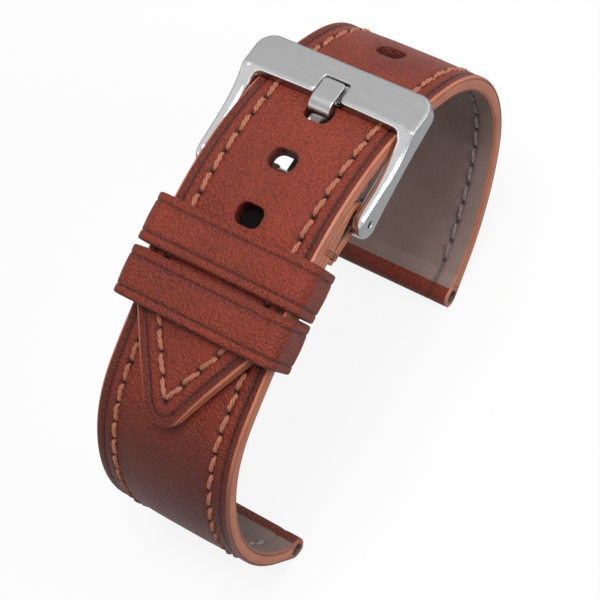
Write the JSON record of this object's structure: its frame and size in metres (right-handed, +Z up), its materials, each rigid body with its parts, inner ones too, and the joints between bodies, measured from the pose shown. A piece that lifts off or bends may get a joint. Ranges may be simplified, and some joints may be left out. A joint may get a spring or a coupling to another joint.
{
  "type": "leather watch strap",
  "caption": "Leather watch strap fastened into a loop: buckle strap and pointed tail strap, hinged pin buckle on a sprung bar, a fixed keeper and a sliding keeper.",
  "frame": {"origin": "on the surface that the two lug ends stand on, half way between the loop's two sides and in the middle of the strap's width", "axes": "+X from the buckle strap's lug end towards the tail strap's, +Y across the strap, +Z up to the buckle"},
  "size_m": [0.0729, 0.0272, 0.0495],
  "materials": {
    "cover_leather": "smooth pull-up leather, satin",
    "filler_leather": "edge painted",
    "lining_leather": "matt",
    "bar_steel": "turned",
    "spring_steel": "plain wire",
    "buckle_steel": "brushed bar, polished arms"
  },
  "bodies": {
    "straps": {"buckle_strap_cover": "cover_leather", "buckle_strap_filler": "filler_leather", "buckle_strap_lining": "lining_leather", "tail_strap_cover": "cover_leather", "tail_strap_filler": "filler_leather", "tail_strap_lining": "lining_leather", "fixed_keeper_cover": "cover_leather", "fixed_keeper_lining": "lining_leather", "spring_bar_tube": "bar_steel", "spring_bar_spring": "spring_steel"},
    "frame": {"buckle_frame": "buckle_steel"},
    "tongue": {"buckle_tongue": "buckle_steel"},
    "floating_keeper": {"floating_keeper_cover": "cover_leather", "floating_keeper_lining": "lining_leather"},
    "pin_left": {"spring_bar_pin_left": "bar_steel"},
    "pin_right": {"spring_bar_pin_right": "bar_steel"}
  },
  "joints": [
    {"name": "buckle_frame_hinge", "type": "hinge", "parent": "straps", "child": "frame", "pos_m": [0.00516, 0, 0.04408], "axis": [0, -1, 0], "range_deg": [0, 5]},
    {"name": "buckle_tongue_hinge", "type": "hinge", "parent": "frame", "child": "tongue", "pos_m": [0.00516, 0, 0.04408], "axis": [0, -1, 0], "range_deg": [0, 3.5]},
    {"name": "floating_keeper_slide", "type": "hinge", "parent": "straps", "child": "floating_keeper", "pos_m": [0.01222, 0, -0.03646], "axis": [0, 1, 0], "range_deg": [-5.5, 0.08]},
    {"name": "spring_bar_pin_left_slide", "type": "slide", "parent": "straps", "child": "pin_left", "axis": [0, -1, 0], "range_m": [0, 0.00125], "stiffness_N_per_m": 1000, "deforming": ["spring_bar_spring"]},
    {"name": "spring_bar_pin_right_slide", "type": "slide", "parent": "straps", "child": "pin_right", "axis": [0, 1, 0], "range_m": [0, 0.00125], "stiffness_N_per_m": 1000, "deforming": ["spring_bar_spring"]}
  ]
}
